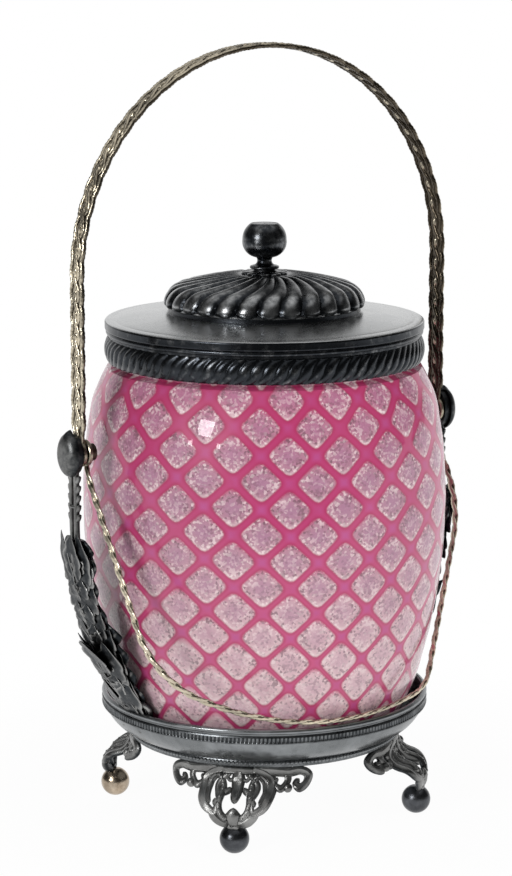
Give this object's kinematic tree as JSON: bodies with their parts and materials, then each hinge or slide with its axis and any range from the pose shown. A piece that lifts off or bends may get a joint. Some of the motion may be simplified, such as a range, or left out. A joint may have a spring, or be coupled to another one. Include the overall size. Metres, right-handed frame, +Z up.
{
  "type": "biscuit jar",
  "caption": "Barrel-shaped glass biscuit jar with a lift-off domed cover, standing in a footed metal frame with swing bail handles.",
  "frame": {"origin": "on the table under the jar's axis, midway between the four feet", "axes": "+Z up along the jar's axis; X along the hinge line of both bails; -Y towards the front, over which the short bail lies"},
  "size_m": [0.1996, 0.1548, 0.329],
  "materials": {
    "glass": "clear casing over pink glass, with a lattice of frosted, sparkling windows",
    "plaster": "matt white plaster",
    "cover_plate": "silver plate tarnished to a glossy dark gunmetal",
    "tray_plate": "silver plate tarnished to satin slate grey",
    "casting": "oxidised silver-plated casting, lighter on its high spots",
    "foot_ball": "dark oxidised silver plate, polished",
    "worn_foot_ball": "silver plate worn through to warm brass",
    "bail_strap": "stamped strap, bright silver plate with warm worn edges"
  },
  "bodies": {
    "frame": {"tray": "tray_plate", "rim_border": "tray_plate", "base_ring": "tray_plate", "leg_back_right": "casting", "leg_back_left": "casting", "leg_front_left": "casting", "leg_front_right": "casting", "ball_foot_back_right": "foot_ball", "ball_foot_back_left": "worn_foot_ball", "ball_foot_front_left": "foot_ball", "ball_foot_front_right": "foot_ball", "bracket_right": "casting", "boss_right": "casting", "hinge_pin_right": "bail_strap", "bracket_left": "casting", "boss_left": "casting", "hinge_pin_left": "bail_strap"},
    "jar": {"glass_jar": "glass", "neck_cement": "plaster", "collar": "cover_plate", "rope_border": "cover_plate"},
    "cover": {"cover_plate": "cover_plate", "cover_bezel": "cover_plate", "cover_dome": "cover_plate", "finial_rosette": "cover_plate", "finial_knob": "cover_plate", "finial_nut": "cover_plate"},
    "tall_bail": {"tall_bail": "bail_strap"},
    "short_bail": {"short_bail": "bail_strap"}
  },
  "joints": [
    {"name": "jar_lift", "type": "slide", "parent": "frame", "child": "jar", "axis": [0, 0, 1], "range_m": [0, 0.03]},
    {"name": "cover_lift", "type": "slide", "parent": "jar", "child": "cover", "axis": [0, 0, 1], "range_m": [0, 0.04]},
    {"name": "tall_bail_hinge", "type": "hinge", "parent": "frame", "child": "tall_bail", "pos_m": [0, 0, 0.1651], "axis": [1, 0, 0], "range_deg": [-150, 150]},
    {"name": "short_bail_hinge", "type": "hinge", "parent": "frame", "child": "short_bail", "pos_m": [0, 0, 0.1651], "axis": [-1, 0, 0], "range_deg": [0, 293]}
  ]
}
